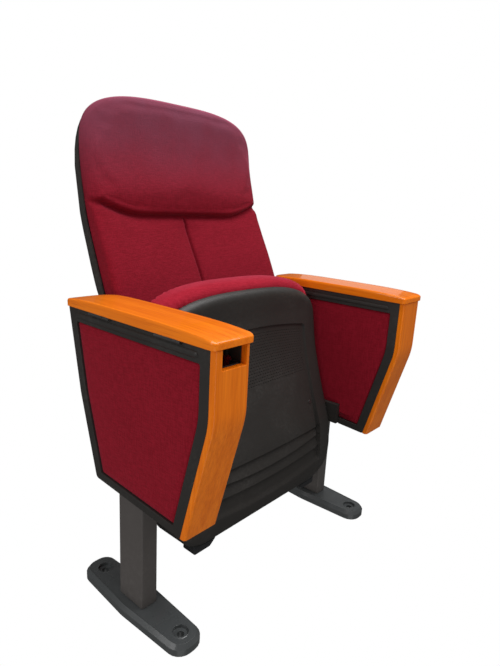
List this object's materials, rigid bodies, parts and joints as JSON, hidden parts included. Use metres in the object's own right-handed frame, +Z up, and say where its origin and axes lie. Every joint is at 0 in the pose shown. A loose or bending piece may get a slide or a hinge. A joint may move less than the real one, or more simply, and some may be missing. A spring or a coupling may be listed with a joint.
{
  "type": "tip up auditorium seat",
  "caption": "Tip up auditorium seat: upholstered back, moulded seat that springs up, wooden armrests on panelled arm boxes, floor standards.",
  "frame": {"origin": "on the floor, at the middle of the bounding box seen from above", "axes": "+X to the right seen from the front, +Y towards the back, +Z up; the seat is tipped up and the armrest lid is closed"},
  "size_m": [0.666, 0.5018, 0.98],
  "materials": {
    "lacquered_wood": "orange brown lacquered wood, gloss, fine grain",
    "red_fabric": "deep red woven upholstery, matt",
    "moulded_plastic": "black moulded plastic, fine texture",
    "foot_paint": "bluish black painted casting, slight gloss",
    "post_paint": "dark grey powder coat",
    "plain_steel": "zinc plated steel",
    "rubber": "dark rubber",
    "nylon": "natural nylon",
    "plywood": "bare plywood"
  },
  "bodies": {
    "standards": {"left_foot": "foot_paint", "right_foot": "foot_paint", "left_post": "post_paint", "right_post": "post_paint", "left_side_plate": "plain_steel", "right_side_plate": "plain_steel", "left_outer_casing": "moulded_plastic", "right_outer_casing": "moulded_plastic", "left_inner_casing": "moulded_plastic", "right_inner_casing": "moulded_plastic", "left_outer_panel": "red_fabric", "right_outer_panel": "red_fabric", "left_inner_panel": "red_fabric", "right_inner_panel": "red_fabric", "left_fascia": "lacquered_wood", "right_fascia": "lacquered_wood", "right_armrest": "lacquered_wood", "left_pivot_housing": "moulded_plastic", "right_pivot_housing": "moulded_plastic", "left_pivot_shaft": "plain_steel", "right_pivot_shaft": "plain_steel", "left_back_bracket": "post_paint", "right_back_bracket": "post_paint", "left_back_screw": "plain_steel", "right_back_screw": "plain_steel", "left_lower_bracket_bolt": "plain_steel", "left_upper_bracket_bolt": "plain_steel", "right_lower_bracket_bolt": "plain_steel", "right_upper_bracket_bolt": "plain_steel", "left_front_casing_hinge_leaf": "plain_steel", "left_rear_casing_hinge_leaf": "plain_steel", "left_front_hinge_pin": "plain_steel", "left_rear_hinge_pin": "plain_steel", "right_front_armrest_screw": "plain_steel", "right_rear_armrest_screw": "plain_steel", "left_writing_tablet": "moulded_plastic", "left_tablet_arm": "plain_steel", "left_tablet_hinge_block": "post_paint", "left_tablet_pin": "plain_steel", "back_cushion": "red_fabric", "back_board": "plywood", "back_shell": "moulded_plastic"},
    "seat": {"seat_shell": "moulded_plastic", "seat_board": "plywood", "seat_frame": "plain_steel", "seat_cushion": "red_fabric", "left_seat_buffer": "rubber", "right_seat_buffer": "rubber", "left_seat_screw": "plain_steel", "right_seat_screw": "plain_steel", "left_stop_cam": "plain_steel", "right_stop_cam": "plain_steel", "left_pivot_bush": "nylon", "right_pivot_bush": "nylon", "left_return_spring": "plain_steel", "right_return_spring": "plain_steel"},
    "lid": {"left_armrest": "lacquered_wood", "left_front_lid_hinge_leaf": "plain_steel", "left_rear_lid_hinge_leaf": "plain_steel"}
  },
  "joints": [
    {"name": "seat_tip", "type": "hinge", "parent": "standards", "child": "seat", "pos_m": [0, -0.06391, 0.277], "axis": [1, 0, 0], "range_deg": [0, 87], "stiffness_Nm_per_rad": 4.5, "springref_deg": -85.94},
    {"name": "armrest_lid", "type": "hinge", "parent": "standards", "child": "lid", "pos_m": [-0.3295, -0.05891, 0.5741], "axis": [0, -1, 0], "range_deg": [0, 100]}
  ]
}
